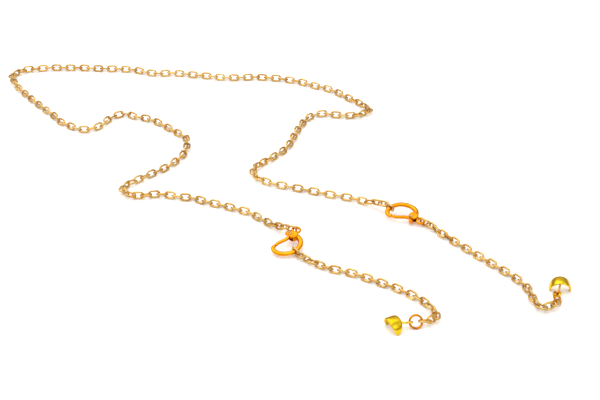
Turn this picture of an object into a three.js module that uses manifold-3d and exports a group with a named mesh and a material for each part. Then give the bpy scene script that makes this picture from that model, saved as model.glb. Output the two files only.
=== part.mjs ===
// Chain strap for eyeglasses, laid down loosely on a flat surface.
// A long neck chain of oval links ends in two lobster clasps, each clasp holds a short front
// chain, and each front chain ends in a jump ring with a C-shaped spring clip for a temple arm.
// Millimetres, +Z up, the surface is z = 0, and the origin is the middle of the whole footprint.
import * as THREE from "three";
import { mergeVertices } from "three/addons/utils/BufferGeometryUtils.js";
import Module from "manifold-3d";

const wasm = await Module();
wasm.setup();

// Chain links: a stadium of round wire. Neighbours stand at right angles to each other.
const WIRE = 0.8;
const LINK_LENGTH = 4.8;
const LINK_WIDTH = 3.1;
const BEND_RADIUS = (LINK_WIDTH - WIRE) / 2; // centre line of a link's round end
const HALF_STRAIGHT = (LINK_LENGTH - LINK_WIDTH) / 2; // centre to the middle of a round end
const END_WIRE = (LINK_LENGTH - WIRE) / 2; // centre to the centre line of the end wire
const GAP = 0.3; // between pieces that touch

// The plain stretches of chain between the modelled links.
const CHAIN_DIAMETER = 2.5;
const CHAIN_HEIGHT = 1.27; // centre line of links that lie rolled to 45 degrees
const LINK_HEIGHT = 1.62; // centre line where one link lies flat and the next stands up
const CHAIN_STEP = 7.5;

// Lobster clasps, in a frame with x from the eye to the tip and z across the thickness.
const CLASP_THICKNESS = 2.8;
// The arm's centre line, from inside the base round to the tip of the claw.
const ARM = [
  [-0.3, 1.5], [0.3, 3.3], [2, 4.8], [4.8, 5.3], [7.2, 4.7], [9, 3.2], [10.1, 1.4], [10.25, -0.2],
  [9.85, -1.55], [8.95, -2.45],
];
const ARM_WIDTH = 1.7;
const ARM_THICKNESS = 1.2;
const EYE_RADIUS = 1.35; // centre line of the eye
const EYE_WIRE = 0.5; // radius of the eye's section
const EYE_CENTRE = [-2.8, -0.6];
const BASE_CENTRE = [0.3, 0.4];
const BASE_RADIUS = 2.0;
const SLOT_WIDTH = 1.4;
const SLOT_TOP = 1.35;
const SLOT_BACK = -1.3;
const PIN_AT = [0.8, -0.6];
const PIN_RADIUS = 0.45;
const PIN_CLEARANCE = 0.1;
const GATE_THICKNESS = 1.0;
const GATE_WIDTH = 1.2;
const GATE_REACH = 6.75; // pin to the middle of the gate's round end
const GATE_ANGLE = THREE.MathUtils.degToRad(-12);
const HUB_RADIUS = 1.1;
const TAB_REACH = 2.3; // pin to the middle of the thumb tab's round end
const TAB_ANGLE = THREE.MathUtils.degToRad(258);
const TAB_WIDTH = 1.6;
const SPRING_RADIUS = 0.42;
const SPRING_WIRE = 0.09;
const SPRING_TURNS = 2;
const SPRING_FROM = [-1.15, 0.62];
const SPRING_LENGTH = 0.7;

// End pieces: a jump ring, and a C-shaped clip with a stem and an eye.
const RING_RADIUS = 2.15;
const RING_WIRE = 0.4;
const CLIP_RADIUS = 3.8; // outside
const CLIP_BORE = 3.05;
const CLIP_BORE_DROP = 0.2; // the bore sits low, so the crown is the thickest place
const CLIP_ARC = THREE.MathUtils.degToRad(212);
const CLIP_FOOT_DROP = 0.85; // the flat feet, below the middle of the band
const CLIP_CROWN_WIDTH = 4.4;
const CLIP_TIP_WIDTH = 2.0;
const CLIP_EYE_RADIUS = 0.98;
const CLIP_EYE_WIRE = 0.36;
const CLIP_REACH = 5.6; // eye to the middle of the clip
const STEM_RADIUS = 0.42;
const PAD_RADIUS = 0.9;
const PAD_THICKNESS = 0.45;

const GOLD_CHAIN = { color: 0xb9803a, roughness: 0.28, metalness: 1 };
const GOLD_CLASP = { color: 0xd99a2b, roughness: 0.22, metalness: 1 };
const GOLD_CLIP = { color: 0xe2bd3c, roughness: 0.2, metalness: 1 };
const STEEL = { color: 0x9a9a98, roughness: 0.35, metalness: 1 };

// Where the chain lies: x, y and, where it isn't CHAIN_HEIGHT, z.
// Each stretch starts at the middle of the joint that the one before it ends at.
const LEFT_CORNER = [-50.6, -7.8, LINK_HEIGHT];
const LEFT_END = [-109.4, 86.6, LINK_HEIGHT];
const RIGHT_END = [46.2, 55.6, LINK_HEIGHT];
const RIGHT_CORNER = [-1.2, 6.4, LINK_HEIGHT];

const NECK_LEFT_FRONT = [
  [13, -38, 4.1], [10.7, -35.7, 3.5], [8, -33.2, 2.5], [5.4, -30.4, 1.9], [2.8, -27.6, 1.4],
  [-1.7, -23.3], [-6.8, -20.8], [-12.6, -18],
  [-17.9, -15.9], [-23.4, -13.2], [-29, -12.2], [-34.2, -10.6], [-39.8, -10.9], [-44.4, -11.6],
  [-48.2, -10.6, LINK_HEIGHT],
];
const NECK_LEFT_SIDE = [
  [-49.6, -4, LINK_HEIGHT], [-45.4, 0], [-40.8, 4.4], [-36.5, 8.2], [-31.9, 14.4], [-28.8, 21.4],
  [-28.5, 28.6], [-29.7, 33.5], [-32.8, 36.8], [-36.8, 41], [-41.2, 45.2], [-46.1, 48.6],
  [-51, 50.4], [-56.6, 53], [-61.6, 49.5], [-65.8, 42.2], [-71.4, 39.6], [-77.6, 42.7],
  [-82.4, 46.9], [-86.6, 52.9], [-91.8, 59.1], [-96, 64.5], [-99.3, 69], [-102.7, 73.6],
  [-106.2, 79, LINK_HEIGHT],
];
const NECK_BACK = [
  [-107.8, 90.4, LINK_HEIGHT], [-104.2, 93.4], [-99.2, 94.6], [-94, 95.4], [-87.4, 95.5],
  [-81.1, 95.5], [-74.4, 95], [-68.1, 94.5], [-61.9, 94.3], [-55.6, 93.2], [-49.6, 90.8],
  [-44.7, 89.9], [-39.9, 90.4], [-33.7, 89.6], [-27.8, 88.2], [-22.1, 87.2], [-16.3, 86],
  [-9.3, 85.9], [-3.2, 86.5], [2.5, 85.9], [8.7, 84.8], [15.7, 82.6], [22.4, 78.8],
  [27.8, 76.2], [32.5, 72.7], [36.6, 68.1], [40.8, 63.6], [44.2, 59.6, LINK_HEIGHT],
];
const NECK_RIGHT_SIDE = [
  [43, 52.6, LINK_HEIGHT], [37.8, 51.2], [31.6, 52.1], [25.6, 53], [20.5, 49.6], [17.8, 44.3],
  [15.8, 38.5], [14.2, 32.7], [12.6, 27], [10.2, 22.4], [7.2, 18.2], [3.2, 13.6],
  [0, 10.2, LINK_HEIGHT],
];
const NECK_RIGHT_FRONT = [
  [-0.6, 2.4, LINK_HEIGHT], [2.6, -0.6, 1.5], [7.4, -3.2], [13.6, -5.3], [18.9, -7.3], [23.8, -9],
  [28.2, -10.6], [33.3, -12.1], [38, -14.1, 1.4], [42, -16.5, 2],
  [44.6, -18.2, 2.8], [46.7, -19.5, 3.3],
];
const FRONT_LEFT = [
  [18.8, -53.4, 1.6], [23.2, -57, 1.6], [28.4, -59.8], [32.7, -61.2], [37.5, -63.4], [42.8, -66.6],
  [48.1, -69.8], [53, -73.3], [57.1, -77.1], [60.4, -81.4, 1.5],
  [62.2, -85.8, 1.6], [61.3, -89.7, 1.9],
];
const FRONT_RIGHT = [
  [63.6, -31, 1.8], [67, -35.7, 1.4], [70.9, -40.3], [74.8, -45.1], [78.5, -49.7], [82.4, -54.2],
  [86.4, -58.8], [90.2, -63.4], [93.4, -68.2], [95.3, -73.4, 1.4], [95.8, -78.4, 1.6],
  [97.4, -82.2, 1.8], [100.8, -83, 2],
];

const LEFT_CLASP = { at: [14.5, -41.6], heading: 234, flipped: false, lean: 12, lift: 0 };
const RIGHT_CLASP = { at: [58.9, -28.1], heading: 158, flipped: true, lean: 12, lift: 0.35 };
const HOOK_LEFT = { at: [5.8, 5.15], outward: 75 };
const HOOK_RIGHT = { at: [9.8, 1.95], outward: 22 };
const HOOK_SHIFT = 0.55; // a hooked link hangs off the arm's middle, pulled outward
const LEFT_RING = { at: [55.1, -91], heading: 190, lean: -55, turn: 19 };
const RIGHT_RING = { at: [103.6, -77.9], heading: 73, lean: 55, turn: 13 };

// The middle of the footprint in the coordinates above.
const CENTRE = [-0.5, 0.2];

const strap = new THREE.Group();

// ---- helpers ---------------------------------------------------------------

function solidOf(geometry) {
  const bare = geometry.clone();
  bare.deleteAttribute("normal");
  bare.deleteAttribute("uv");
  const merged = mergeVertices(bare, 1e-4);
  return new wasm.Manifold(
    new wasm.Mesh({
      numProp: 3,
      vertProperties: merged.attributes.position.array,
      triVerts: new Uint32Array(merged.index.array),
    }),
  );
}

function geometryOf(solid) {
  const mesh = solid.getMesh();
  const geometry = new THREE.BufferGeometry();
  geometry.setAttribute("position", new THREE.BufferAttribute(mesh.vertProperties, 3));
  geometry.setIndex(new THREE.BufferAttribute(mesh.triVerts, 1));
  return geometry.toNonIndexed();
}

function addPiece(parent, name, geometry, finish) {
  geometry.computeVertexNormals();
  const piece = new THREE.Mesh(geometry, new THREE.MeshStandardMaterial(finish));
  piece.name = name;
  parent.add(piece);
  return piece;
}

// A regular polygon section, with a corner radius in each direction.
function section(radiusX, radiusY, sides) {
  const corners = [];
  for (let i = 0; i < sides; i++) {
    const angle = (2 * Math.PI * (i + 0.5)) / sides;
    corners.push(new THREE.Vector2(radiusX * Math.cos(angle), radiusY * Math.sin(angle)));
  }
  return new THREE.Shape(corners);
}

function curveThrough(points) {
  const curve = new THREE.CatmullRomCurve3(points, false, "centripetal");
  curve.arcLengthDivisions = 1200;
  return curve;
}

function sweep(outline, curve, steps) {
  return new THREE.ExtrudeGeometry(outline, { steps, bevelEnabled: false, extrudePath: curve });
}

function plate(outline, thickness) {
  const geometry = new THREE.ExtrudeGeometry(outline, {
    depth: thickness,
    bevelEnabled: false,
    curveSegments: 6,
  });
  return geometry.translate(0, 0, -thickness / 2);
}

function postAt(x, y, radius, length, sides) {
  return new THREE.CylinderGeometry(radius, radius, length, sides)
    .rotateX(Math.PI / 2)
    .translate(x, y, 0);
}

// A bar with round ends, between two points of the clasp's plane.
function barShape(from, to, width) {
  const along = new THREE.Vector2(to[0] - from[0], to[1] - from[1]);
  const side = along.angle() + Math.PI / 2;
  const shape = new THREE.Shape();
  shape.absarc(from[0], from[1], width / 2, side, side + Math.PI, false);
  shape.absarc(to[0], to[1], width / 2, side + Math.PI, side + 2 * Math.PI, false);
  shape.closePath();
  return shape;
}

function polar(from, reach, angle) {
  return [from[0] + reach * Math.cos(angle), from[1] + reach * Math.sin(angle)];
}

// Lowers or raises a group until its lowest point touches the surface.
function settle(group) {
  group.updateMatrixWorld(true);
  group.position.z -= new THREE.Box3().setFromObject(group, true).min.z;
  group.updateMatrixWorld(true);
}

// ---- chain -----------------------------------------------------------------

// A torus opened out along x: the half on each side moves away from the middle.
function linkGeometry() {
  const turns = 16;
  const link = new THREE.TorusGeometry(BEND_RADIUS, WIRE / 2, 6, turns);
  link.rotateZ(Math.PI / turns);
  const places = link.attributes.position;
  for (let i = 0; i < places.count; i++) {
    places.setX(i, places.getX(i) + Math.sign(places.getX(i)) * HALF_STRAIGHT);
  }
  return link;
}

// roll 0 lays the link flat, roll 90 stands it on its long side.
function addLink(parent, name, centre, direction, roll) {
  const link = addPiece(parent, name, linkGeometry(), GOLD_CHAIN);
  const along = direction.clone().normalize();
  const across = new THREE.Vector3(0, 0, 1).cross(along).normalize();
  const up = along.clone().cross(across);
  link.quaternion.setFromRotationMatrix(new THREE.Matrix4().makeBasis(along, across, up));
  link.rotateX(THREE.MathUtils.degToRad(roll));
  link.position.copy(centre);
  return link;
}

// How far a link reaches between its two joints: a standing link is held by its end wires,
// and a flat one turns about the middles of its round ends.
const SPAN = { standing: 2 * END_WIRE, flat: 2 * HALF_STRAIGHT };
// How far the outside of a link reaches past its last joint.
const OVERHANG = { standing: WIRE / 2, flat: BEND_RADIUS + WIRE / 2 };

// The next joint along the curve, a straight reach away.
function nextJoint(curve, at, sign, reach) {
  const length = curve.getLength();
  const here = curve.getPointAt(at / length);
  let next = at + sign * reach;
  for (let i = 0; i < 6; i++) {
    next += sign * (reach - here.distanceTo(curve.getPointAt(next / length)));
  }
  return next;
}

// Real links from one end of a stretch inwards. Returns where the plain solid may begin.
function addLinks(name, number, curve, from, sign, kinds, rolls) {
  const length = curve.getLength();
  let at = from;
  kinds.forEach((kind, i) => {
    const next = nextJoint(curve, at, sign, SPAN[kind]);
    const a = curve.getPointAt(at / length);
    const b = curve.getPointAt(next / length);
    const centre = a.clone().lerp(b, 0.5);
    addLink(strap, name + "_link_" + (number + sign * i), centre, b.clone().sub(a), rolls[i]);
    at = next;
  });
  return at + sign * (OVERHANG[kinds.at(-1)] + GAP);
}

// A stretch of chain: real links at each end, and one plain solid for those between.
// Kinds and rolls are listed from each end inwards.
function addChain(name, points, start, finish) {
  const curve = curveThrough(points);
  const length = curve.getLength();
  const links = start.kinds.length + finish.kinds.length;
  const from = addLinks(name, 1, curve, 0, 1, start.kinds, start.rolls);
  const to = addLinks(name, links, curve, length, -1, finish.kinds, finish.rolls);
  const steps = Math.round((to - from) / CHAIN_STEP);
  const along = [];
  for (let i = 0; i <= steps; i++) {
    along.push(curve.getPointAt((from + ((to - from) * i) / steps) / length));
  }
  const radius = CHAIN_DIAMETER / 2 / Math.cos(Math.PI / 8);
  const body = sweep(section(radius, radius, 8), curveThrough(along), steps);
  addPiece(strap, name + "_run", body, GOLD_CHAIN);
}

function route(points) {
  return points.map(([x, y, z]) => new THREE.Vector3(x, y, z ?? CHAIN_HEIGHT));
}

// ---- lobster clasp ---------------------------------------------------------

function claspBody() {
  const base = new THREE.Shape();
  base.absarc(...BASE_CENTRE, BASE_RADIUS, 0, 2 * Math.PI);
  const slot = new THREE.Shape([
    new THREE.Vector2(SLOT_BACK, -4),
    new THREE.Vector2(4, -4),
    new THREE.Vector2(4, SLOT_TOP),
    new THREE.Vector2(SLOT_BACK, SLOT_TOP),
  ]);
  const eye = new THREE.TorusGeometry(EYE_RADIUS, EYE_WIRE, 8, 16).translate(...EYE_CENTRE, 0);
  const armPath = curveThrough(ARM.map(([x, y]) => new THREE.Vector3(x, y, 0)));
  const armSection = section(ARM_THICKNESS / 2 / Math.cos(Math.PI / 8), ARM_WIDTH / 2, 8);
  const arm = sweep(armSection, armPath, 18);
  return solidOf(plate(base, CLASP_THICKNESS))
    .add(solidOf(eye))
    .subtract(solidOf(plate(slot, SLOT_WIDTH)))
    .subtract(solidOf(postAt(...PIN_AT, PIN_RADIUS + PIN_CLEARANCE, 6, 12)))
    .add(solidOf(arm));
}

function gateSolid() {
  const hub = new THREE.Shape();
  hub.absarc(...PIN_AT, HUB_RADIUS, 0, 2 * Math.PI);
  const bar = barShape(PIN_AT, polar(PIN_AT, GATE_REACH, GATE_ANGLE), GATE_WIDTH);
  const tab = barShape(PIN_AT, polar(PIN_AT, TAB_REACH, TAB_ANGLE), TAB_WIDTH);
  return solidOf(plate(hub, GATE_THICKNESS))
    .add(solidOf(plate(bar, GATE_THICKNESS)))
    .add(solidOf(plate(tab, GATE_THICKNESS)))
    .subtract(solidOf(postAt(...PIN_AT, PIN_RADIUS + PIN_CLEARANCE, 6, 12)));
}

function springGeometry() {
  const points = [];
  const perTurn = 8;
  for (let i = 0; i <= SPRING_TURNS * perTurn; i++) {
    const angle = (2 * Math.PI * i) / perTurn;
    points.push(new THREE.Vector3(
      SPRING_FROM[0] + SPRING_WIRE + (SPRING_LENGTH * i) / (SPRING_TURNS * perTurn),
      SPRING_FROM[1] + SPRING_RADIUS * Math.cos(angle),
      SPRING_RADIUS * Math.sin(angle),
    ));
  }
  return sweep(section(SPRING_WIRE, SPRING_WIRE, 5), curveThrough(points), SPRING_TURNS * perTurn);
}

function addClasp(side, place, hook) {
  const clasp = new THREE.Group();
  addPiece(clasp, side + "_clasp_body", geometryOf(claspBody()), GOLD_CLASP);
  addPiece(clasp, side + "_clasp_gate", geometryOf(gateSolid()), GOLD_CLASP);
  const pin = postAt(...PIN_AT, PIN_RADIUS, CLASP_THICKNESS + 0.3, 12);
  addPiece(clasp, side + "_clasp_pin", pin, STEEL);
  addPiece(clasp, side + "_clasp_spring", springGeometry(), STEEL);
  const outward = THREE.MathUtils.degToRad(hook.outward);
  const direction = new THREE.Vector3(Math.cos(outward), Math.sin(outward), 0);
  const centre = new THREE.Vector3(...hook.at, 0).addScaledVector(direction, HOOK_SHIFT);
  addLink(clasp, side + "_hooked_link", centre, direction, 90);
  if (place.flipped) clasp.rotateX(Math.PI);
  const lean = new THREE.Group();
  const turn = new THREE.Group();
  turn.rotation.z = THREE.MathUtils.degToRad(place.heading);
  turn.add(clasp);
  lean.rotation.x = THREE.MathUtils.degToRad(place.lean);
  lean.add(turn);
  lean.position.set(...place.at, 0);
  strap.add(lean);
  settle(lean);
  lean.position.z += place.lift;
  lean.updateMatrixWorld(true);
  return clasp;
}

// ---- jump ring and temple clip -----------------------------------------------

// The C-shaped band stands on its two tips, its bore along x.
function clipBand() {
  const half = CLIP_ARC / 2;
  const up = Math.PI / 2;
  const arch = new THREE.Shape();
  arch.absarc(0, 0, CLIP_RADIUS, up - half, up + half, false);
  arch.absarc(0, -CLIP_BORE_DROP, CLIP_BORE, up + half, up - half, true);
  arch.closePath();
  const band = new THREE.ExtrudeGeometry(arch, {
    depth: CLIP_CROWN_WIDTH,
    bevelEnabled: false,
    curveSegments: 20,
  })
    .translate(0, 0, -CLIP_CROWN_WIDTH / 2)
    .rotateX(Math.PI / 2)
    .rotateZ(Math.PI / 2);
  const low = -CLIP_FOOT_DROP;
  const taper = new THREE.Shape([
    new THREE.Vector2(-CLIP_TIP_WIDTH / 2, low),
    new THREE.Vector2(CLIP_TIP_WIDTH / 2, low),
    new THREE.Vector2(CLIP_TIP_WIDTH / 2, -0.5),
    new THREE.Vector2(CLIP_CROWN_WIDTH / 2 - 0.4, 1.2),
    new THREE.Vector2(CLIP_CROWN_WIDTH / 2, 2.8),
    new THREE.Vector2(CLIP_CROWN_WIDTH / 2, CLIP_RADIUS + 1),
    new THREE.Vector2(-CLIP_CROWN_WIDTH / 2, CLIP_RADIUS + 1),
    new THREE.Vector2(-CLIP_CROWN_WIDTH / 2, 2.8),
    new THREE.Vector2(-CLIP_CROWN_WIDTH / 2 + 0.4, 1.2),
    new THREE.Vector2(-CLIP_TIP_WIDTH / 2, -0.5),
  ]);
  const side = plate(taper, 12).rotateX(Math.PI / 2);
  return solidOf(band).intersect(solidOf(side));
}

// The stem runs from the eye to a pad under the crown.
function clipHanger(eyeHeight, crownHeight, lean) {
  const eye = new THREE.TorusGeometry(CLIP_EYE_RADIUS, CLIP_EYE_WIRE, 6, 12);
  eye.rotateX(lean);
  eye.translate(0, 0, eyeHeight);
  const padHeight = crownHeight - GAP - PAD_THICKNESS / 2;
  const path = curveThrough([
    new THREE.Vector3(CLIP_EYE_RADIUS, 0, eyeHeight),
    new THREE.Vector3(CLIP_EYE_RADIUS + 1, 0, eyeHeight + 0.1),
    new THREE.Vector3(CLIP_REACH - 1, 0, padHeight - 0.1),
    new THREE.Vector3(CLIP_REACH, 0, padHeight),
  ]);
  const stem = sweep(section(STEM_RADIUS, STEM_RADIUS, 8), path, 6);
  const pad = new THREE.CylinderGeometry(PAD_RADIUS, PAD_RADIUS, PAD_THICKNESS, 14)
    .rotateX(Math.PI / 2)
    .translate(CLIP_REACH, 0, padHeight);
  return solidOf(eye).add(solidOf(stem)).add(solidOf(pad));
}

// Everything past the last link, in a frame with x from the chain towards the clip.
// Heading turns all of it, lean tips the ring, and turn is the band's own about its middle.
function addEnd(side, place) {
  const end = new THREE.Group();
  const lean = THREE.MathUtils.degToRad(place.lean);
  const tilt = Math.PI / 2 - lean;
  const ringHeight = RING_RADIUS * Math.abs(Math.sin(lean)) + RING_WIRE;
  const ring = new THREE.TorusGeometry(RING_RADIUS, RING_WIRE, 6, 24);
  ring.rotateX(lean);
  ring.translate(0, 0, ringHeight);
  addPiece(end, side + "_jump_ring", ring, GOLD_CLASP);
  const clip = new THREE.Group();
  const underCrown = CLIP_FOOT_DROP + CLIP_BORE - CLIP_BORE_DROP;
  const hanger = clipHanger(ringHeight, underCrown, -tilt);
  addPiece(clip, side + "_clip_hanger", geometryOf(hanger), GOLD_CLIP);
  const band = addPiece(clip, side + "_clip_band", geometryOf(clipBand()), GOLD_CLIP);
  band.position.set(CLIP_REACH, 0, CLIP_FOOT_DROP);
  band.rotation.z = THREE.MathUtils.degToRad(place.turn);
  clip.position.x = RING_RADIUS;
  end.add(clip);
  end.rotation.z = THREE.MathUtils.degToRad(place.heading);
  end.position.set(...place.at, 0);
  strap.add(end);
  settle(end);
  return end;
}

// ---- the strap -------------------------------------------------------------

const leftClasp = addClasp("left", LEFT_CLASP, HOOK_LEFT);
const rightClasp = addClasp("right", RIGHT_CLASP, HOOK_RIGHT);
const leftEnd = addEnd("left", LEFT_RING);
const rightEnd = addEnd("right", RIGHT_RING);

function worldPoint(group, x, y, z) {
  return group.localToWorld(new THREE.Vector3(x, y, z));
}

function hookJoint(clasp, hook) {
  const outward = THREE.MathUtils.degToRad(hook.outward);
  const reach = HOOK_SHIFT + END_WIRE;
  return worldPoint(clasp, ...polar(hook.at, reach, outward), 0);
}

function ringJoint(end, place) {
  const lean = THREE.MathUtils.degToRad(place.lean);
  const height = RING_RADIUS * Math.abs(Math.sin(lean)) + RING_WIRE;
  return worldPoint(end, -RING_RADIUS, 0, height);
}

// How the links at a fold begin.
const STANDING_FIRST = { kinds: ["standing", "flat"], rolls: [90, 0] };
const FLAT_FIRST = { kinds: ["flat", "standing"], rolls: [0, 90] };

// In a clasp's eye a link is held by its end wire, and on a hooked link it turns in its round end.
function inEye(roll) {
  return { kinds: ["standing", "flat"], rolls: [roll, roll - 90] };
}

function onHook(roll) {
  return { kinds: ["flat", "standing"], rolls: [roll, roll + 90] };
}

// At a jump ring the links are rolled with the ring, and stand up again further away.
function atRing(lean) {
  const side = Math.sign(lean);
  const tilt = Math.abs(lean);
  return {
    kinds: ["flat", "standing", "flat", "standing"],
    rolls: [side * (80 - tilt), side * (-tilt - 20), side * (60 - tilt), side * (-tilt - 40)],
  };
}

const corner = (point) => new THREE.Vector3(...point);
const leftEye = worldPoint(leftClasp, ...EYE_CENTRE, 0);
const rightEye = worldPoint(rightClasp, ...EYE_CENTRE, 0);
const leftHook = hookJoint(leftClasp, HOOK_LEFT);
const rightHook = hookJoint(rightClasp, HOOK_RIGHT);

addChain(
  "neck_left_front",
  [leftEye, ...route(NECK_LEFT_FRONT), corner(LEFT_CORNER)],
  inEye(90),
  STANDING_FIRST,
);
addChain(
  "neck_left_side",
  [corner(LEFT_CORNER), ...route(NECK_LEFT_SIDE), corner(LEFT_END)],
  FLAT_FIRST,
  STANDING_FIRST,
);
addChain(
  "neck_back",
  [corner(LEFT_END), ...route(NECK_BACK), corner(RIGHT_END)],
  FLAT_FIRST,
  STANDING_FIRST,
);
addChain(
  "neck_right_side",
  [corner(RIGHT_END), ...route(NECK_RIGHT_SIDE), corner(RIGHT_CORNER)],
  FLAT_FIRST,
  STANDING_FIRST,
);
addChain(
  "neck_right_front",
  [corner(RIGHT_CORNER), ...route(NECK_RIGHT_FRONT), rightHook],
  FLAT_FIRST,
  onHook(-12),
);
addChain(
  "front_left",
  [leftHook, ...route(FRONT_LEFT), ringJoint(leftEnd, LEFT_RING)],
  onHook(0),
  atRing(LEFT_RING.lean),
);
addChain(
  "front_right",
  [rightEye, ...route(FRONT_RIGHT), ringJoint(rightEnd, RIGHT_RING)],
  inEye(92),
  atRing(RIGHT_RING.lean),
);

strap.position.set(-CENTRE[0], -CENTRE[1], 0);

export default strap;
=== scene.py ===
"""Looks of the eyeglasses chain strap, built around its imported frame.

Everything is worked out in millimetres in the part's own frame, and a mesh is scaled to metres
when it is made.
"""

import math
import random

import bmesh
import bpy
import numpy as np
from mathutils import Matrix, Vector


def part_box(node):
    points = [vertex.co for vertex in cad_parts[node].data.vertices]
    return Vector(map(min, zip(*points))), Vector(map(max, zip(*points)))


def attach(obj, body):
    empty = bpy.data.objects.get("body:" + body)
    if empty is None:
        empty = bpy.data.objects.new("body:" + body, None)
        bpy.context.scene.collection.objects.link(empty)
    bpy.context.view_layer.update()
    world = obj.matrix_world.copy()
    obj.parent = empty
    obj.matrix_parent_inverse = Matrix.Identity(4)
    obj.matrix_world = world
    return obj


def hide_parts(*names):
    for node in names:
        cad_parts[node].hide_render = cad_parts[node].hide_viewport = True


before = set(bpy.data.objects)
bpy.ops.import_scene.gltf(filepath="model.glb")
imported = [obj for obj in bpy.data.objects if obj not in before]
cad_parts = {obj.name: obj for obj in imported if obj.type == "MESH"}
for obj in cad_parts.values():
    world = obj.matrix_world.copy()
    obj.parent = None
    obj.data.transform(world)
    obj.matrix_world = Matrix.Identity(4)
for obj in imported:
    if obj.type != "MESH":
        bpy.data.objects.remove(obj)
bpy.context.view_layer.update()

MM = 0.001
random.seed(7)

# ---- camera ----------------------------------------------------------------

CAMERA_AT = (17.5, -451.6, 276.4)
CAMERA_TARGET = (17.5, -12.7, 0.0)
CAMERA_LENS = 82.34  # on a 36 mm sensor


def add_camera():
    data = bpy.data.cameras.new("camera")
    data.sensor_width = 36.0
    data.lens = CAMERA_LENS
    data.clip_start, data.clip_end = 0.01, 20.0
    camera = bpy.data.objects.new("camera", data)
    camera.location = Vector(CAMERA_AT) * MM
    toward = Vector(CAMERA_TARGET) - Vector(CAMERA_AT)
    camera.rotation_mode = "QUATERNION"
    camera.rotation_quaternion = toward.to_track_quat("-Z", "Y")
    bpy.context.scene.collection.objects.link(camera)
    bpy.context.scene.camera = camera


add_camera()

# ---- meshes ----------------------------------------------------------------


def mesh_object(name, vertices, faces, smooth=True):
    """A mesh object from vertices in millimetres."""
    mesh = bpy.data.meshes.new(name)
    mesh.from_pydata([tuple(v) for v in np.asarray(vertices, float) * MM], [], faces)
    mesh.update()
    if smooth:
        mesh.polygons.foreach_set("use_smooth", [True] * len(mesh.polygons))
    piece = bpy.data.objects.new(name, mesh)
    bpy.context.scene.collection.objects.link(piece)
    return piece


def merged(parts):
    """One (vertices, faces) from several."""
    vertices, faces, start = [], [], 0
    for v, f in parts:
        vertices.append(np.asarray(v, float))
        faces.extend([tuple(i + start for i in face) for face in f])
        start += len(v)
    return np.concatenate(vertices), faces


def moved(part, matrix):
    vertices, faces = part
    m = np.array(matrix)
    return np.asarray(vertices) @ m[:3, :3].T + m[:3, 3], faces


def loft(rings, closed=False):
    """Quads between rings of the same number of points, capped unless closed."""
    rings = np.asarray(rings, float)
    count, size = rings.shape[:2]
    faces = []
    for i in range(count if closed else count - 1):
        j = (i + 1) % count
        for k in range(size):
            n = (k + 1) % size
            faces.append((i * size + k, i * size + n, j * size + n, j * size + k))
    if not closed:
        faces.append(tuple(reversed(range(size))))
        faces.append(tuple((count - 1) * size + k for k in range(size)))
    return rings.reshape(-1, 3), faces


def catmull(points, per_span=24):
    """Centripetal Catmull-Rom through the points, as in the CAD part."""
    p = np.asarray(points, float)
    p = np.vstack([2 * p[0] - p[1], p, 2 * p[-1] - p[-2]])
    out = []
    for i in range(1, len(p) - 2):
        a, b, c, d = p[i - 1 : i + 3]
        t1, t2, t3 = (np.linalg.norm(y - x) ** 0.5 for x, y in ((a, b), (b, c), (c, d)))
        m1 = (b - a) / t1 - (c - a) / (t1 + t2) + (c - b) / t2
        m2 = (c - b) / t2 - (d - b) / (t2 + t3) + (d - c) / t3
        m1, m2 = m1 * t2, m2 * t2
        u = np.linspace(0, 1, per_span, endpoint=False)[:, None]
        out.append(
            b * (2 * u**3 - 3 * u**2 + 1)
            + m1 * (u**3 - 2 * u**2 + u)
            + c * (3 * u**2 - 2 * u**3)
            + m2 * (u**3 - u**2)
        )
    out.append(p[-2][None])
    return np.concatenate(out)


def lengths(points):
    return np.concatenate([[0], np.cumsum(np.linalg.norm(np.diff(points, axis=0), axis=1))])


def resample(points, at):
    s = lengths(points)
    return np.stack([np.interp(at, s, points[:, k]) for k in range(3)], axis=1)


def tube(path, half_width, half_height, flat=(0, 0, 1), ring=16, power=2.0, steps=None, ends=1.0):
    """A bar along a path, widths across flat and heights along it, its ends rounded by a share."""
    path = np.asarray(path, float)
    total = lengths(path)[-1]
    steps = steps or max(8, int(total / 0.25))
    s = np.linspace(0, total, steps + 1)
    half_width, half_height = (
        np.interp(s / total, np.linspace(0, 1, len(np.atleast_1d(h))), np.atleast_1d(h))
        for h in (half_width, half_height)
    )
    bow = np.linspace(0.15, math.pi / 2, 6)
    head = ends * half_width[0] * (1 - np.cos(bow))
    tail = total - ends * half_width[-1] * (1 - np.cos(bow))[::-1]
    middle = s[(s > head[-1] + 1e-6) & (s < tail[0] - 1e-6)]
    stations = np.concatenate([head, middle, tail])
    shrink = np.ones(len(stations))
    shrink[: len(bow)] = 1 - ends * (1 - np.sin(bow))
    shrink[-len(bow) :] = shrink[: len(bow)][::-1]
    half_width = np.interp(stations, s, half_width) * shrink
    half_height = np.interp(stations, s, half_height) * shrink
    s = stations
    points = resample(path, s)
    ahead = resample(path, np.minimum(s + 0.02, total))
    behind = resample(path, np.maximum(s - 0.02, 0))
    tangent = ahead - behind
    tangent /= np.linalg.norm(tangent, axis=1)[:, None]
    flat = np.broadcast_to(np.asarray(flat, float), tangent.shape)
    side = np.cross(flat, tangent)
    side /= np.linalg.norm(side, axis=1)[:, None]
    up = np.cross(tangent, side)
    angle = 2 * math.pi * np.arange(ring) / ring
    c = np.sign(np.cos(angle)) * np.abs(np.cos(angle)) ** (2 / power)
    d = np.sign(np.sin(angle)) * np.abs(np.sin(angle)) ** (2 / power)
    rings = (
        points[:, None]
        + side[:, None] * (half_width[:, None] * c)[..., None]
        + up[:, None] * (half_height[:, None] * d)[..., None]
    )
    return loft(rings)


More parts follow.
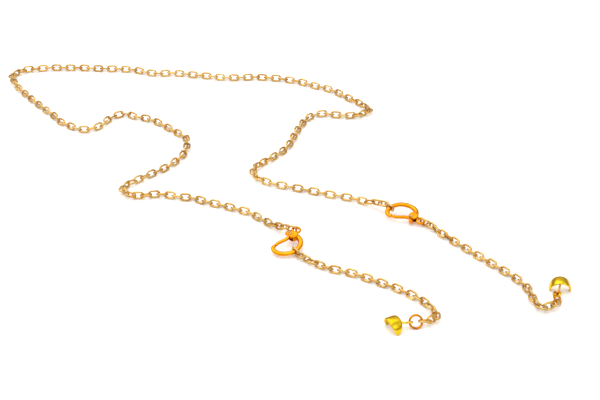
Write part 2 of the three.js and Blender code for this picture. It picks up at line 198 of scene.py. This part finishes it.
def torus(major, minor, around=48, ring=12, arc=2 * math.pi, start=0.0):
    closed = arc > 2 * math.pi - 1e-6
    count = around if closed else around + 1
    rings = []
    for i in range(count):
        a = start + arc * i / around
        out = np.array([math.cos(a), math.sin(a), 0])
        rings.append(
            [
                out * (major + minor * math.cos(b)) + np.array([0, 0, minor * math.sin(b)])
                for b in (2 * math.pi * k / ring for k in range(ring))
            ]
        )
    return loft(rings, closed)


def lathe(profile, around=24):
    """A closed solid of revolution about z. The profile runs up the outside, from axis to axis."""
    rings = []
    for r, z in profile:
        rings.append(
            [
                (r * math.cos(2 * math.pi * k / around), r * math.sin(2 * math.pi * k / around), z)
                for k in range(around)
            ]
        )
    return loft(rings)


def fused(name, parts, voxel, smooth=4, cuts=()):
    """Parts joined by a voxel remesh, relaxed, with the cuts taken out. Returns (vertices, faces)."""
    vertices, faces = merged(parts)
    piece = mesh_object(name, vertices / MM, faces)
    remesh = piece.modifiers.new("remesh", "REMESH")
    remesh.mode = "VOXEL"
    remesh.voxel_size = voxel
    relax = piece.modifiers.new("relax", "SMOOTH")
    relax.factor, relax.iterations = 0.5, smooth
    cutters = []
    for cut in cuts:
        cutter = mesh_object(name + "_cut", cut[0] / MM, cut[1], smooth=False)
        cutter.hide_render = True
        boolean = piece.modifiers.new("cut", "BOOLEAN")
        boolean.operation, boolean.object, boolean.solver = "DIFFERENCE", cutter, "EXACT"
        cutters.append(cutter)
    bpy.context.view_layer.update()
    shape = piece.evaluated_get(bpy.context.evaluated_depsgraph_get()).to_mesh()
    out = np.empty(len(shape.vertices) * 3)
    shape.vertices.foreach_get("co", out)
    polygons = [tuple(p.vertices) for p in shape.polygons]
    for o in [piece, *cutters]:
        bpy.data.objects.remove(o)
    return out.reshape(-1, 3), polygons


def sharp(piece, degrees=32):
    """Smooth faces, with creases left sharp above an angle."""
    mesh = piece.data
    bm = bmesh.new()
    bm.from_mesh(mesh)
    for edge in bm.edges:
        edge.smooth = edge.calc_face_angle(0) < math.radians(degrees)
    bm.to_mesh(mesh)
    bm.free()


# ---- materials ---------------------------------------------------------------


def noise(tree, where, scale, detail):
    node = tree.nodes.new("ShaderNodeTexNoise")
    node.inputs["Scale"].default_value = scale
    node.inputs["Detail"].default_value = detail
    tree.links.new(where.outputs["Object"], node.inputs["Vector"])
    return node.outputs["Fac"]


def rescaled(tree, value, low, high, start=0.0, end=1.0):
    """A value that runs from start to end, made to run from low to high."""
    node = tree.nodes.new("ShaderNodeMapRange")
    node.inputs["From Min"].default_value, node.inputs["From Max"].default_value = start, end
    node.inputs["To Min"].default_value, node.inputs["To Max"].default_value = low, high
    tree.links.new(value, node.inputs["Value"])
    return node.outputs[0]


def computed(tree, operation, *values):
    """The result of a maths node whose inputs are numbers or other nodes' outputs."""
    node = tree.nodes.new("ShaderNodeMath")
    node.operation = operation
    for entry, value in zip(node.inputs, values, strict=False):
        if isinstance(value, float):
            entry.default_value = value
        else:
            tree.links.new(value, entry)
    return node.outputs[0]


def metal_colour(tree, where, base, pale, deep):
    """A colour that drifts over the surface, differs a little by link and has painted shade in hollows.
    """
    tint = tree.nodes.new("ShaderNodeValToRGB")
    first, last = tint.color_ramp.elements
    first.position, first.color = 0.3, (*deep, 1)
    last.position, last.color = 0.72, (*pale, 1)
    tint.color_ramp.elements.new(0.5).color = (*base, 1)
    tree.links.new(noise(tree, where, 260, 3), tint.inputs["Fac"])
    tone = tree.nodes.new("ShaderNodeAttribute")
    tone.attribute_name = "tone"
    by_link = computed(tree, "MULTIPLY_ADD", tone.outputs["Fac"], 0.22, 0.9)
    surface = tree.nodes.new("ShaderNodeNewGeometry")
    # Painted shade: the colour is darkened where the surface is concave, going by its pointiness.
    painted_hollow_shade = rescaled(tree, surface.outputs["Pointiness"], 0.6, 1.0, start=0.42, end=0.53)
    colour = tree.nodes.new("ShaderNodeVectorMath")
    colour.operation = "SCALE"
    tree.links.new(tint.outputs["Color"], colour.inputs[0])
    tree.links.new(computed(tree, "MULTIPLY", by_link, painted_hollow_shade), colour.inputs["Scale"])
    return colour.outputs[0]


def metal(name, base, pale, deep, roughness, grain, scratch):
    """Plated metal, its roughness worn unevenly, with a fine grain and streaks in its bump."""
    material = bpy.data.materials.new(name)
    material.use_nodes = True
    tree = material.node_tree
    tree.nodes.clear()
    output = tree.nodes.new("ShaderNodeOutputMaterial")
    shader = tree.nodes.new("ShaderNodeBsdfPrincipled")
    tree.links.new(shader.outputs["BSDF"], output.inputs["Surface"])
    where = tree.nodes.new("ShaderNodeTexCoord")
    tree.links.new(metal_colour(tree, where, base, pale, deep), shader.inputs["Base Color"])
    shader.inputs["Metallic"].default_value = 1.0
    fine = noise(tree, where, grain, 6)
    worn = rescaled(tree, fine, roughness * 0.7, roughness * 1.5)
    tree.links.new(worn, shader.inputs["Roughness"])
    streak = tree.nodes.new("ShaderNodeTexWave")
    streak.inputs["Scale"].default_value = grain * 0.35
    streak.inputs["Distortion"].default_value = 9
    streak.inputs["Detail"].default_value = 3
    tree.links.new(where.outputs["Object"], streak.inputs["Vector"])
    bump = tree.nodes.new("ShaderNodeBump")
    bump.inputs["Strength"].default_value = scratch
    bump.inputs["Distance"].default_value = BUMP_DEPTH
    tree.links.new(computed(tree, "ADD", fine, streak.outputs["Fac"]), bump.inputs["Height"])
    tree.links.new(bump.outputs["Normal"], shader.inputs["Normal"])
    return material


BUMP_DEPTH = 0.00002
CHAIN_GOLD = metal(
    "chain_gold",
    base=(0.98, 0.6, 0.16),
    pale=(1.0, 0.73, 0.29),
    deep=(0.8, 0.41, 0.09),
    roughness=0.26,
    grain=1500,
    scratch=0.25,
)
CLASP_GOLD = metal(
    "clasp_gold",
    base=(0.93, 0.33, 0.006),
    pale=(0.98, 0.42, 0.012),
    deep=(0.8, 0.23, 0.004),
    roughness=0.24,
    grain=1200,
    scratch=0.2,
)
CLIP_GOLD = metal(
    "clip_gold",
    base=(0.93, 0.61, 0.015),
    pale=(0.98, 0.74, 0.05),
    deep=(0.85, 0.46, 0.01),
    roughness=0.22,
    grain=1200,
    scratch=0.2,
)
STEEL = metal(
    "steel",
    base=(0.62, 0.46, 0.22),
    pale=(0.72, 0.56, 0.3),
    deep=(0.48, 0.34, 0.15),
    roughness=0.25,
    grain=1800,
    scratch=0.3,
)


def dress(piece, material, body, slot, *nodes):
    """Material, body and the CAD nodes that the piece stands for. The slot is not used."""
    piece.data.materials.clear()
    piece.data.materials.append(material)
    if nodes:
        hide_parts(*nodes)
    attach(piece, body)
    return piece


def add_tone(piece, values):
    """A brightness for each vertex, which sets the links apart."""
    attribute = piece.data.attributes.new("tone", "FLOAT", "POINT")
    attribute.data.foreach_set("value", values)


# ---- chain -----------------------------------------------------------------

WIRE = 0.4  # radius
BEND = 1.15  # radius of a link's round ends, to the middle of the wire
HALF_STRAIGHT = 0.85
PITCH = 3.1
TWIST_LENGTH = 13.0  # over which the middle links turn into line with the end ones
SETTLE_LENGTH = 12.0  # over which the middle links come down to lie on the surface
HALF_CHORD = 1.2  # each side of a place on the line, to find its direction
LOOSE_ROLL, LOOSE_SWAY = 5, 3  # degrees by which a link may lie out of line
CHAIN_HEIGHT = 1.27
REACH = {"standing": 2.0, "flat": 0.85}  # a link's centre to its joint


def link_shape(around=20, ring=10):
    """An oval link of round wire, with a low solder seam in one straight side."""
    stations = []
    for i in range(around // 2 + 1):
        a = -math.pi / 2 + math.pi * i / (around // 2)
        stations.append((HALF_STRAIGHT + BEND * math.cos(a), BEND * math.sin(a), a, 1.0))
    for x, thick in ((0.3, 1.0), (0.16, 1.0), (0.08, 1.1), (-0.08, 1.1), (-0.16, 1.0), (-0.3, 1.0)):
        stations.append((x, BEND, math.pi / 2, thick))
    for i in range(around // 2 + 1):
        a = math.pi / 2 + math.pi * i / (around // 2)
        stations.append((-HALF_STRAIGHT + BEND * math.cos(a), BEND * math.sin(a), a, 1.0))
    stations.append((0.0, -BEND, -math.pi / 2, 1.0))
    rings = []
    for x, y, a, thick in stations:
        out = np.array([math.cos(a), math.sin(a), 0])
        r = WIRE * thick
        rings.append(
            [
                np.array([x, y, 0]) + out * r * math.cos(b) + np.array([0, 0, r * math.sin(b)])
                for b in (2 * math.pi * k / ring for k in range(ring))
            ]
        )
    return loft(rings, closed=True)


LINK = link_shape()


def level_axes(along):
    """A direction at unit length, the level direction across it, and the one at right angles to both."""
    along = along / np.linalg.norm(along)
    across = np.cross((0, 0, 1), along)
    across /= np.linalg.norm(across)
    return along, across, np.cross(along, across)


def axes_from(along, roll):
    """Rotation that lays a link along a direction, turned about it from lying flat."""
    along, across, up = level_axes(along)
    c, s = math.cos(roll), math.sin(roll)
    return np.stack([along, c * across + s * up, c * up - s * across], axis=1)


def link_at(centre, rotation):
    return LINK[0] @ rotation.T + centre, LINK[1]


def cad_link(node):
    """Centre, direction and normal of a CAD link, from its own vertices."""
    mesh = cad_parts[node].data
    v = np.empty(len(mesh.vertices) * 3)
    mesh.vertices.foreach_get("co", v)
    v = np.unique(np.round(v.reshape(-1, 3) / MM, 4), axis=0)
    centre = v.mean(axis=0)
    _, _, rows = np.linalg.svd(v - centre)
    return centre, rows[0], rows[2]


def roll_of(along, normal):
    """The roll of a link that lies along a direction and faces along a normal."""
    _, across, up = level_axes(along)
    return math.atan2(-normal @ across, normal @ up) % math.pi


def nearest_turn(angle, target):
    """The angle that looks the same on a link, closest to the target."""
    return angle + math.pi * round((target - angle) / math.pi)


# The route of each stretch, as in the CAD part, before CENTRE is taken away. A point without a
# height lies at CHAIN_HEIGHT, and LH is the height of a corner's standing link.
LH = 1.62
ROUTES = {
    "neck_left_front": [
        (13, -38, 4.1), (10.7, -35.7, 3.5), (8, -33.2, 2.5), (5.4, -30.4, 1.9), (2.8, -27.6, 1.4),
        (-1.7, -23.3), (-6.8, -20.8), (-12.6, -18), (-17.9, -15.9), (-23.4, -13.2),
        (-29, -12.2), (-34.2, -10.6), (-39.8, -10.9), (-44.4, -11.6), (-48.2, -10.6, LH),
    ],
    "neck_left_side": [
        (-49.6, -4, LH), (-45.4, 0), (-40.8, 4.4), (-36.5, 8.2), (-31.9, 14.4), (-28.8, 21.4),
        (-28.5, 28.6), (-29.7, 33.5), (-32.8, 36.8), (-36.8, 41), (-41.2, 45.2), (-46.1, 48.6),
        (-51, 50.4), (-56.6, 53), (-61.6, 49.5), (-65.8, 42.2), (-71.4, 39.6), (-77.6, 42.7),
        (-82.4, 46.9), (-86.6, 52.9), (-91.8, 59.1), (-96, 64.5), (-99.3, 69), (-102.7, 73.6),
        (-106.2, 79, LH),
    ],
    "neck_back": [
        (-107.8, 90.4, LH), (-104.2, 93.4), (-99.2, 94.6), (-94, 95.4), (-87.4, 95.5),
        (-81.1, 95.5), (-74.4, 95), (-68.1, 94.5), (-61.9, 94.3), (-55.6, 93.2), (-49.6, 90.8),
        (-44.7, 89.9), (-39.9, 90.4), (-33.7, 89.6), (-27.8, 88.2), (-22.1, 87.2), (-16.3, 86),
        (-9.3, 85.9), (-3.2, 86.5), (2.5, 85.9), (8.7, 84.8), (15.7, 82.6), (22.4, 78.8),
        (27.8, 76.2), (32.5, 72.7), (36.6, 68.1), (40.8, 63.6), (44.2, 59.6, LH),
    ],
    "neck_right_side": [
        (43, 52.6, LH), (37.8, 51.2), (31.6, 52.1), (25.6, 53), (20.5, 49.6), (17.8, 44.3),
        (15.8, 38.5), (14.2, 32.7), (12.6, 27), (10.2, 22.4), (7.2, 18.2), (3.2, 13.6),
        (0, 10.2, LH),
    ],
    "neck_right_front": [
        (-0.6, 2.4, LH), (2.6, -0.6, 1.5), (7.4, -3.2), (13.6, -5.3), (18.9, -7.3), (23.8, -9),
        (28.2, -10.6), (33.3, -12.1), (38, -14.1, 1.4), (42, -16.5, 2), (44.6, -18.2, 2.8),
        (46.7, -19.5, 3.3),
    ],
    "front_left": [
        (18.8, -53.4, 1.6), (23.2, -57, 1.6), (28.4, -59.8), (32.7, -61.2), (37.5, -63.4),
        (42.8, -66.6), (48.1, -69.8), (53, -73.3), (57.1, -77.1), (60.4, -81.4, 1.5),
        (62.2, -85.8, 1.6), (61.3, -89.7, 1.9),
    ],
    "front_right": [
        (63.6, -31, 1.8), (67, -35.7, 1.4), (70.9, -40.3), (74.8, -45.1), (78.5, -49.7),
        (82.4, -54.2), (86.4, -58.8), (90.2, -63.4), (93.4, -68.2), (95.3, -73.4, 1.4),
        (95.8, -78.4, 1.6), (97.4, -82.2, 1.8), (100.8, -83, 2),
    ],
}
CENTRE = (-0.5, 0.2)
ENDS = {  # how the outermost link is held at each end, and how many links are modelled there
    "neck_left_front": ("standing", 2, "standing", 2),
    "neck_left_side": ("flat", 2, "standing", 2),
    "neck_back": ("flat", 2, "standing", 2),
    "neck_right_side": ("flat", 2, "standing", 2),
    "neck_right_front": ("flat", 2, "flat", 2),
    "front_left": ("flat", 2, "flat", 4),
    "front_right": ("standing", 2, "flat", 4),
}
BODY = {"front_left": "left_front_chain", "front_right": "right_front_chain"}


def facing_roll(point, along):
    """The roll that turns a link's open side to the camera."""
    along = along / np.linalg.norm(along)
    toward = np.array(CAMERA_AT) - point
    return roll_of(along, toward - (toward @ along) * along)


def nearest_quarter(angle, target):
    """The angle a number of quarter turns away that is closest to the target."""
    return angle + math.pi / 2 * round((target - angle) / (math.pi / 2))


def lying_height(roll):
    """Height of a chain whose links lie at a roll and at right angles to it."""
    return BEND * max(abs(math.sin(roll)), abs(math.cos(roll))) + WIRE


def line_ways(line, at):
    """The direction of a line at each of some places along it."""
    return resample(line, at + HALF_CHORD) - resample(line, at - HALF_CHORD)


def joint_beyond(centre, along, kind, toward):
    """The joint on the far side of an end link, away from its stretch's route."""
    if along @ (np.array(toward) - centre) < 0:
        along = -along
    return centre - along * REACH[kind]


def middle_links(line, first, last, begin, end):
    """Places, directions and rolls of the links between two end ones, with the least twist."""
    least = None
    links_between = (last - first) / PITCH
    for count in (math.floor(links_between), math.ceil(links_between)):
        at = np.linspace(first, last, count + 1)[1:-1]
        ways = line_ways(line, at)
        rolls = [begin]
        for point, way in zip(resample(line, at), ways, strict=True):
            rolls.append(nearest_quarter(facing_roll(point, way), rolls[-1]))
        finish = nearest_turn(end - math.pi / 2 * count, rolls[-1])
        twist = abs(finish - rolls[-1])
        if least is None or twist < least:
            least = twist
            best = at, ways, np.array(rolls[1:]), finish
    at, ways, rolls, finish = best
    to_first = np.clip(1 - (at - first) / TWIST_LENGTH, 0, 1)
    to_last = np.clip(1 - (last - at) / TWIST_LENGTH, 0, 1)
    return at, ways, rolls + to_first * (begin - rolls[0]) + to_last * (finish - rolls[-1])


def loose_link(point, way, roll):
    """A link a little out of line, no lower than the surface."""
    turn = roll + math.radians(random.uniform(-LOOSE_ROLL, LOOSE_ROLL))
    rotation = axes_from(way, turn)
    angle = math.radians(random.uniform(-LOOSE_SWAY, LOOSE_SWAY))
    sway = Matrix.Rotation(angle, 3, Vector(rotation[:, 2]))
    vertices, faces = link_at(point, np.array(sway) @ rotation)
    vertices[:, 2] += max(0.0, -vertices[:, 2].min())
    return vertices, faces


def add_wire(node, body, tone):
    """A fine link in the place of a CAD link."""
    centre, way, normal = cad_link(node)
    rotation = np.stack([way, np.cross(normal, way), normal], axis=1)
    wire = mesh_object(node + "_wire", *link_at(centre, rotation))
    add_tone(wire, np.full(len(LINK[0]), tone))
    dress(wire, CHAIN_GOLD, body, "chain_gold", node)


def add_run(name):
    """A stretch of chain: its middle links as one cord, and a fine link for each CAD link."""
    body = BODY.get(name, name)
    start_kind, start_count, end_kind, end_count = ENDS[name]
    nodes = [f"{name}_link_{i + 1}" for i in range(start_count + end_count)]
    real = [cad_link(node) for node in nodes]
    route = []
    for x, y, *height in ROUTES[name]:
        route.append((x - CENTRE[0], y - CENTRE[1], height[0] if height else CHAIN_HEIGHT))
    start = joint_beyond(*real[0][:2], start_kind, route[0])
    finish = joint_beyond(*real[-1][:2], end_kind, route[-1])
    line = catmull([start, *route, finish])
    s = lengths(line)

    # The last real link at the start, and the first one at the end, bound the middle.
    bounds = []
    for centre, _, normal in real[start_count - 1 : start_count + 1]:
        place = s[np.argmin(np.linalg.norm(line - centre, axis=1))]
        bounds.append((place, roll_of(line_ways(line, np.array([place]))[0], normal)))
    (first, begin), (last, end) = bounds

    at, ways, rolls = middle_links(line, first, last, begin, end)
    points = resample(line, at)
    settled = np.minimum(1.0, np.minimum(at - first, last - at) / SETTLE_LENGTH)
    links, tones = [], []
    for i, (point, way, roll) in enumerate(zip(points, ways, rolls, strict=True)):
        point[2] += settled[i] * (lying_height(roll) - point[2])
        links.append(loose_link(point, way, roll + math.pi / 2 * (i + 1)))
        tones.append(random.random())
    piece = mesh_object(name + "_links", *merged(links))
    add_tone(piece, np.repeat(tones, len(LINK[0])))
    dress(piece, CHAIN_GOLD, body, "chain_gold", name + "_run")
    for node in nodes:
        add_wire(node, body, random.random())


for run in ROUTES:
    add_run(run)

# ---- lobster clasps ----------------------------------------------------------

PIN_AT = np.array([0.8, -0.6, 0.0])
GATE_ANGLE = -12  # from the pin to the claw
TAB_ANGLE = 258
CLASPS = {  # heading, lean and whether it lies on its other face, as in the CAD part
    "left": (234, 12, False),
    "right": (158, 12, True),
}
# The arm's line. Its claw goes about 1 mm further than the CAD part's, towards the gate.
ARM = [
    (-0.3, 1.5), (0.3, 3.3), (2, 4.8), (4.8, 5.3), (7.2, 4.7), (9, 3.2), (10.1, 1.4),
    (10.25, -0.2), (9.8, -1.5), (8.95, -2.12), (7.95, -2.2),
]
EYE_AT = (-2.8, -0.6, 0.0)


def flat_path(points):
    return catmull([(x, y, 0.0) for x, y in points])


def box_part(low, high):
    """A box between two corners, to cut with."""
    x0, y0, z0 = low
    x1, y1, z1 = high
    v = [(x, y, z) for z in (z0, z1) for x, y in ((x0, y0), (x1, y0), (x1, y1), (x0, y1))]
    f = [(3, 2, 1, 0), (4, 5, 6, 7), (0, 1, 5, 4), (1, 2, 6, 5), (2, 3, 7, 6), (3, 0, 4, 7)]
    return np.array(v, float), f


def button(radius, half, soft, at=(0, 0, 0), around=40):
    """A disc with rounded rims."""
    bow = [
        (radius - soft + soft * math.cos(a), half - soft + soft * math.sin(a))
        for a in np.linspace(0, math.pi / 2, 6)
    ]
    profile = [(0.01, -half)] + [(r, -z) for r, z in reversed(bow)] + bow + [(0.01, half)]
    return moved(lathe(profile, around), Matrix.Translation(Vector(at)))


def pin_hole():
    """A bar to cut the pin's hole with."""
    profile = [(0.01, -4), (0.55, -4), (0.55, 4), (0.01, 4)]
    return moved(lathe(profile), Matrix.Translation(Vector(PIN_AT)))


def clasp_body_shape():
    """An arm curling into a claw, on a slotted round base with an eye behind it."""
    arm = tube(
        flat_path(ARM),
        [1.0, 0.95, 0.9, 0.9, 0.9, 0.88, 0.85, 0.72],
        [1.05, 0.9, 0.72, 0.66, 0.64, 0.64, 0.62, 0.55],
        ring=24,
        power=2.5,
        ends=0.4,
    )
    base = button(1.8, 1.2, 0.5, (0.3, 0.38, 0))
    neck = tube([(-0.9, 0.1, 0), (-2.0, -0.25, 0)], [1.25, 0.7], [1.0, 0.5], ring=20)
    eye = moved(torus(1.35, 0.5, 48, 16), Matrix.Translation(Vector(EYE_AT)))
    slot = box_part((-1.3, -6, -0.7), (5, 1.35, 0.7))
    return fused("clasp", [arm, base, neck, eye], 0.085, 5, [slot, pin_hole()])


def polar(degrees):
    """A direction in the clasp's plane."""
    return np.array([math.cos(math.radians(degrees)), math.sin(math.radians(degrees)), 0])


def gate_shape():
    """A bar from the pin to the claw, bowed a little, and a ribbed thumb tab behind the pin."""
    ahead, out = polar(GATE_ANGLE), polar(GATE_ANGLE - 90)
    bow = [(0, 0), (2.2, -0.25), (4.2, 0.0), (5.6, 0.2), (7.2, 0.0)]
    path = catmull([PIN_AT + ahead * x + out * y for x, y in bow])
    bar = tube(path, [0.66, 0.62, 0.6, 0.6, 0.58], 0.5, ring=20, power=3.2, ends=0.6)
    hub = button(1.1, 0.5, 0.14, PIN_AT)
    tab = tube([PIN_AT, PIN_AT + 2.4 * polar(TAB_ANGLE)], [0.72, 0.85], 0.5, ring=20, power=3.2)
    ribs = []
    for i in range(3):
        at = PIN_AT + (1.75 + 0.35 * i) * polar(TAB_ANGLE)
        side = polar(TAB_ANGLE + 90) * (0.72 - 0.12 * i)
        for z in (-0.5, 0.5):
            lift = np.array([0, 0, z])
            ribs.append(tube([at - side + lift, at + side + lift], 0.09, 0.09, ring=10, steps=6))
    return fused("gate", [bar, hub, tab, *ribs], 0.06, 3, [pin_hole()])


def pin_shape():
    """A rivet with low domed heads."""
    half = 1.42
    dome = [(0.45 * math.cos(a), half - 0.12 + 0.12 * math.sin(a)) for a in np.linspace(0, 1.5, 6)]
    profile = [(0.01, -half)] + [(r, -z) for r, z in reversed(dome)] + dome + [(0.01, half)]
    return moved(lathe(profile, 28), Matrix.Translation(Vector(PIN_AT)))


def spring_shape():
    """A small coil beside the gate's hub."""
    turns, length, radius = 2, 0.7, 0.42
    a = np.linspace(0, 2 * math.pi * turns, 24 * turns + 1)
    along = -1.06 + length * a / a[-1]
    path = np.stack([along, 0.62 + radius * np.cos(a), radius * np.sin(a)], axis=1)
    return tube(path, 0.09, 0.09, flat=(1, 0, 0), ring=8, steps=48)


def clasp_place(side):
    """Where a clasp lies, with its pin on the CAD pin."""
    heading, lean, flipped = CLASPS[side]
    turn = Matrix.Rotation(math.radians(lean), 4, "X") @ Matrix.Rotation(math.radians(heading), 4, "Z")
    if flipped:
        turn = turn @ Matrix.Rotation(math.pi, 4, "X")
    low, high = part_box(side + "_clasp_pin")
    centre = (Vector(low) + Vector(high)) / 2 / MM
    return Matrix.Translation(centre - turn @ Vector(PIN_AT)) @ turn


CLASP_PIECES = (  # name, shape, material, its slot, the body's name and the CAD node's
    ("cast_body", clasp_body_shape(), CLASP_GOLD, "clasp_gold", "clasp", "body"),
    ("lever", gate_shape(), CLASP_GOLD, "clasp_gold", "gate", "gate"),
    ("rivet", pin_shape(), STEEL, "steel", "clasp", "pin"),
    ("coil", spring_shape(), STEEL, "steel", "clasp", "spring"),
)


def add_clasp(side):
    to_world = clasp_place(side)
    for name, shape, material, slot, body, node in CLASP_PIECES:
        piece = mesh_object(f"{side}_clasp_{name}", *moved(shape, to_world))
        if name != "coil":
            sharp(piece, 40)
        dress(piece, material, f"{side}_{body}", slot, f"{side}_clasp_{node}")
    add_wire(side + "_hooked_link", side + "_clasp", 0.5)


for side in CLASPS:
    add_clasp(side)

# ---- jump rings and temple clips -----------------------------------------------

RING_RADIUS, RING_WIRE = 2.15, 0.4
CLIP_OUTSIDE, CLIP_BORE, CLIP_BORE_DROP, CLIP_FOOT = 3.8, 3.05, 0.2, 0.85
CLIP_REACH = 5.6
PAD_SUNK = 0.525  # from the top of the bore down to the middle of the pad
BAND_CROWN = 0.12  # by how much the outside of the band is domed, as a share of its thickness
RINGS = {"left": (190, -55, 19), "right": (73, 55, 13)}  # heading, lean and the band's own turn


def ring_shape(lean):
    """A jump ring of round wire, with the fine gap where it was closed."""
    gap = 0.035
    ring = torus(RING_RADIUS, RING_WIRE, 64, 14, 2 * math.pi - gap, math.radians(70) + gap / 2)
    return moved(ring, Matrix.Rotation(math.radians(lean), 4, "X"))


def band_shape():
    """The C-shaped band standing on its feet, bore along x, widest at the crown."""
    reach = math.radians(107)
    rings = []
    for a in np.linspace(-reach, reach, 73):
        y0, z0 = -CLIP_OUTSIDE * math.sin(a), CLIP_OUTSIDE * math.cos(a)
        y1, z1 = -CLIP_BORE * math.sin(a), CLIP_BORE * math.cos(a) - CLIP_BORE_DROP
        height = (z0 + z1) / 2
        half = np.interp(height, [-0.9, 1.2, 2.8, 3.8], [0.55, 1.6, 2.15, 2.2])
        centre = np.array([0, (y0 + y1) / 2, height])
        out = np.array([0, y0 - y1, z0 - z1]) / 2
        crown = BAND_CROWN * (1 - abs(a) / reach)
        ring = []
        for b in (2 * math.pi * k / 24 for k in range(24)):
            c, d = math.cos(b), math.sin(b)
            x = half * math.copysign(abs(c) ** 0.55, c)
            r = math.copysign(abs(d) ** 0.7, d)
            if d > 0:
                r *= 1 + crown * (1 - (x / half) ** 2)
            ring.append(centre + np.array([x, 0, 0]) + out * r)
        rings.append(ring)
    return loft(rings)


def cut_below(part, height):
    """Takes away what is under a height and closes the cut."""
    mesh = bpy.data.meshes.new("cut")
    mesh.from_pydata([tuple(v) for v in part[0]], [], part[1])
    bm = bmesh.new()
    bm.from_mesh(mesh)
    geometry = bm.verts[:] + bm.edges[:] + bm.faces[:]
    cut = bmesh.ops.bisect_plane(
        bm, geom=geometry, plane_co=(0, 0, height), plane_no=(0, 0, -1), clear_outer=True
    )
    edges = [e for e in cut["geom_cut"] if isinstance(e, bmesh.types.BMEdge)]
    bmesh.ops.edgenet_fill(bm, edges=edges)
    bmesh.ops.recalc_face_normals(bm, faces=bm.faces)
    bm.to_mesh(mesh)
    bm.free()
    vertices = np.array([v.co[:] for v in mesh.vertices])
    faces = [tuple(p.vertices) for p in mesh.polygons]
    bpy.data.meshes.remove(mesh)
    return vertices, faces


def hanger_shape(eye_height, lean):
    """An eye on the jump ring, and a stem from it to a round pad under the band's crown."""
    pad_height = CLIP_FOOT + CLIP_BORE - CLIP_BORE_DROP - PAD_SUNK
    eye = moved(
        torus(0.98, 0.36, 40, 14),
        Matrix.Translation((0, 0, eye_height)) @ Matrix.Rotation(-(math.pi / 2 - lean), 4, "X"),
    )
    path = catmull(
        [
            (0.98, 0, eye_height),
            (1.98, 0, eye_height + 0.1),
            (CLIP_REACH - 1, 0, pad_height - 0.1),
            (CLIP_REACH, 0, pad_height),
        ]
    )
    stem = tube(path, [0.46, 0.36, 0.34, 0.4], [0.46, 0.36, 0.34, 0.4], ring=18)
    pad = button(0.9, 0.23, 0.12, (CLIP_REACH, 0, pad_height))
    return fused("hanger", [eye, stem, pad], 0.055, 4)


def add_end(side):
    """A jump ring and the clip that hangs on it."""
    heading, lean_degrees, band_turn = RINGS[side]
    lean = math.radians(lean_degrees)
    low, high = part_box(side + "_jump_ring")
    middle = (Vector(low) + Vector(high)) / 2 / MM
    turn = Matrix.Rotation(math.radians(heading), 4, "Z")
    ring = moved(ring_shape(lean_degrees), Matrix.Translation(middle) @ turn)
    piece = mesh_object(side + "_jump_ring_wire", *ring)
    sharp(piece, 50)
    dress(piece, CLASP_GOLD, side + "_ring", "clasp_gold", side + "_jump_ring")
    below_ring = Matrix.Translation((middle.x, middle.y, 0))
    ground = below_ring @ turn @ Matrix.Translation((RING_RADIUS, 0, 0))
    hanger = moved(hanger_shape(middle.z, lean), ground)
    piece = mesh_object(side + "_clip_stem_and_eye", *hanger)
    sharp(piece, 60)
    dress(piece, CLIP_GOLD, side + "_clip", "clip_gold", side + "_clip_hanger")
    own_turn = Matrix.Rotation(math.radians(band_turn), 4, "Z")
    band = moved(band_shape(), Matrix.Translation((CLIP_REACH, 0, CLIP_FOOT)) @ own_turn)
    piece = mesh_object(side + "_clip_spring_band", *moved(cut_below(band, 0.0), ground))
    sharp(piece, 50)
    dress(piece, CLIP_GOLD, side + "_clip", "clip_gold", side + "_clip_band")


for side in RINGS:
    add_end(side)

# ---- floor, lights and surroundings ----------------------------------------------


def add_floor():
    """A pale floor, just under the part."""
    size = 1500
    corners = [(-size, -size, 0), (size, -size, 0), (size, size, 0), (-size, size, 0)]
    floor = mesh_object("floor", corners, [(0, 1, 2, 3)])
    floor.location.z = -0.00002
    material = bpy.data.materials.new("floor")
    material.use_nodes = True
    shader = material.node_tree.nodes["Principled BSDF"]
    shader.inputs["Base Color"].default_value = (0.93, 0.93, 0.93, 1)
    shader.inputs["Roughness"].default_value = 0.7
    shader.inputs["Emission Color"].default_value = (1, 1, 1, 1)
    shader.inputs["Emission Strength"].default_value = 0.16
    floor.data.materials.append(material)


def add_light(name, at, toward, size, power, colour=(1, 1, 1)):
    data = bpy.data.lights.new(name, "AREA")
    data.shape = "RECTANGLE"
    data.size, data.size_y = size
    data.energy = power
    data.color = colour
    light = bpy.data.objects.new(name, data)
    light.location = at
    light.rotation_mode = "QUATERNION"
    light.rotation_quaternion = (Vector(toward) - Vector(at)).to_track_quat("-Z", "Y")
    bpy.context.scene.collection.objects.link(light)


def add_world():
    """Even pale surroundings, darker towards the floor."""
    world = bpy.data.worlds.new("studio")
    bpy.context.scene.world = world
    world.use_nodes = True
    nodes, links = world.node_tree.nodes, world.node_tree.links
    background = nodes["Background"]
    where = nodes.new("ShaderNodeTexCoord")
    split = nodes.new("ShaderNodeSeparateXYZ")
    ramp = nodes.new("ShaderNodeValToRGB")
    links.new(where.outputs["Generated"], split.inputs[0])
    links.new(split.outputs["Z"], ramp.inputs["Fac"])
    links.new(ramp.outputs["Color"], background.inputs["Color"])
    ramp.color_ramp.elements[0].position = 0.0
    ramp.color_ramp.elements[0].color = (0.3, 0.27, 0.24, 1)
    ramp.color_ramp.elements[1].position = 0.6
    ramp.color_ramp.elements[1].color = (0.85, 0.85, 0.85, 1)
    low = ramp.color_ramp.elements.new(0.3)
    low.color = (0.45, 0.43, 0.41, 1)
    background.inputs["Strength"].default_value = 1.0


add_floor()
add_world()
add_light("key", (-0.35, 0.25, 1.3), (0, 0, 0), (1.9, 1.9), 16)
add_light("fill", (0.7, -0.9, 0.7), (0, 0, 0), (0.8, 0.8), 2)
bpy.context.scene.view_settings.view_transform = "Standard"
